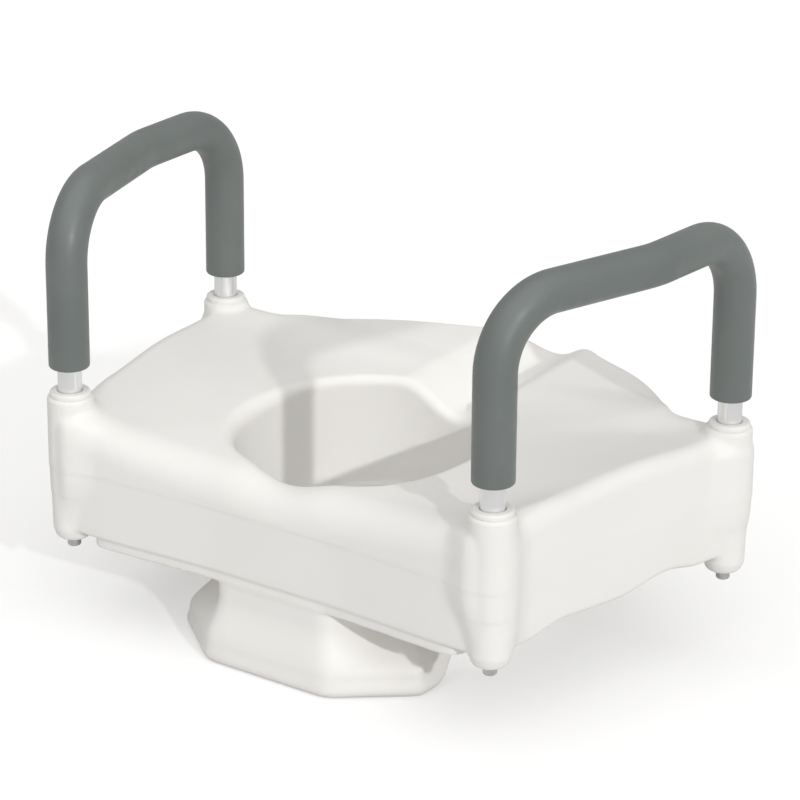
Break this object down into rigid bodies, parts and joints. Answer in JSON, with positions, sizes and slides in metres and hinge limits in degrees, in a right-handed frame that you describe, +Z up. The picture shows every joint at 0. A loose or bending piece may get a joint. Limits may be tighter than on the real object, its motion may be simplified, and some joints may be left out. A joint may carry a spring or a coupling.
{
  "type": "raised toilet seat",
  "caption": "Raised toilet seat with a rear guard, a front clamp and two removable padded side arms.",
  "frame": {"origin": "centre of the four legs, on the plane where the seat's foot rests on the bowl rim", "axes": "+X the user's right, +Y the front (the nose), +Z up"},
  "size_m": [0.558, 0.444, 0.379],
  "materials": {
    "seat_plastic": "satin warm white moulded plastic",
    "arm_aluminium": "satin drawn tube",
    "grip_foam": "matt closed-cell foam",
    "dark_plastic": "matt dark plastic",
    "zinc_steel": "bright zinc plate",
    "pad_rubber": "matt rubber"
  },
  "bodies": {
    "seat": {"seat_body": "seat_plastic", "socket_collar_rear_left": "seat_plastic", "socket_collar_rear_right": "seat_plastic", "socket_collar_front_left": "seat_plastic", "socket_collar_front_right": "seat_plastic"},
    "arm_left": {"arm_tube_left": "arm_aluminium", "arm_grip_left": "grip_foam", "tube_plug_rear_left": "dark_plastic", "tube_plug_front_left": "dark_plastic", "plug_nut_rear_left": "zinc_steel", "plug_nut_front_left": "zinc_steel"},
    "arm_right": {"arm_tube_right": "arm_aluminium", "arm_grip_right": "grip_foam", "tube_plug_rear_right": "dark_plastic", "tube_plug_front_right": "dark_plastic", "plug_nut_rear_right": "zinc_steel", "plug_nut_front_right": "zinc_steel"},
    "bolt_rear_left": {"arm_bolt_rear_left": "zinc_steel"},
    "bolt_rear_right": {"arm_bolt_rear_right": "zinc_steel"},
    "bolt_front_left": {"arm_bolt_front_left": "zinc_steel"},
    "bolt_front_right": {"arm_bolt_front_right": "zinc_steel"},
    "knob": {"clamp_knob": "dark_plastic", "clamp_screw": "zinc_steel", "clamp_washer": "zinc_steel"},
    "bracket": {"clamp_bracket": "seat_plastic", "clamp_nut": "zinc_steel", "clamp_pad": "pad_rubber"}
  },
  "joints": [
    {"name": "arm_left_lift", "type": "slide", "parent": "seat", "child": "arm_left", "axis": [0, 0, 1], "range_m": [0, 0.13]},
    {"name": "arm_right_lift", "type": "slide", "parent": "seat", "child": "arm_right", "axis": [0, 0, 1], "range_m": [0, 0.13]},
    {"name": "bolt_rear_left_draw", "type": "slide", "parent": "seat", "child": "bolt_rear_left", "axis": [0, 0, -1], "range_m": [0, 0.03]},
    {"name": "bolt_rear_right_draw", "type": "slide", "parent": "seat", "child": "bolt_rear_right", "axis": [0, 0, -1], "range_m": [0, 0.03]},
    {"name": "bolt_front_left_draw", "type": "slide", "parent": "seat", "child": "bolt_front_left", "axis": [0, 0, -1], "range_m": [0, 0.03]},
    {"name": "bolt_front_right_draw", "type": "slide", "parent": "seat", "child": "bolt_front_right", "axis": [0, 0, -1], "range_m": [0, 0.03]},
    {"name": "knob_turn", "type": "hinge", "parent": "seat", "child": "knob", "pos_m": [0, 0.27, 0.042], "axis": [0, -1, 0], "range_deg": [-1440, 5760]},
    {"name": "bracket_slide", "type": "slide", "parent": "seat", "child": "bracket", "axis": [0, 1, 0], "range_m": [-0.0121, 0.0481]}
  ],
  "couplings": [
    {"joint": "bracket_slide", "follows": "knob_turn", "m_per_rad": 0.00047746}
  ]
}
